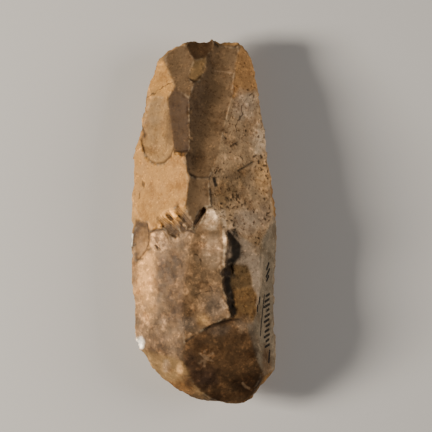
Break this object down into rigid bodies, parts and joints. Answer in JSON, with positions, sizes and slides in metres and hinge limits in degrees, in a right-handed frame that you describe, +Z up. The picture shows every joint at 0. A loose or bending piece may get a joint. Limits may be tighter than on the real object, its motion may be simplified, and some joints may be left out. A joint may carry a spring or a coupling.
{
  "type": "stone hand axe",
  "caption": "Long flaked flint hand axe, narrow at one end, with flake scars on both faces and a steep stepped hollow.",
  "frame": {"origin": "middle of the bounding box in plan, on the surface that the axe lies on", "axes": "+Y towards the narrow end, +Z up out of the worked face, +X towards the inked side"},
  "size_m": [0.0604, 0.1498, 0.0341],
  "materials": {
    "flint": "semi-gloss flaked flint with a tan and brown patina"
  },
  "bodies": {
    "root": {"hand_axe": "flint"}
  },
  "joints": []
}
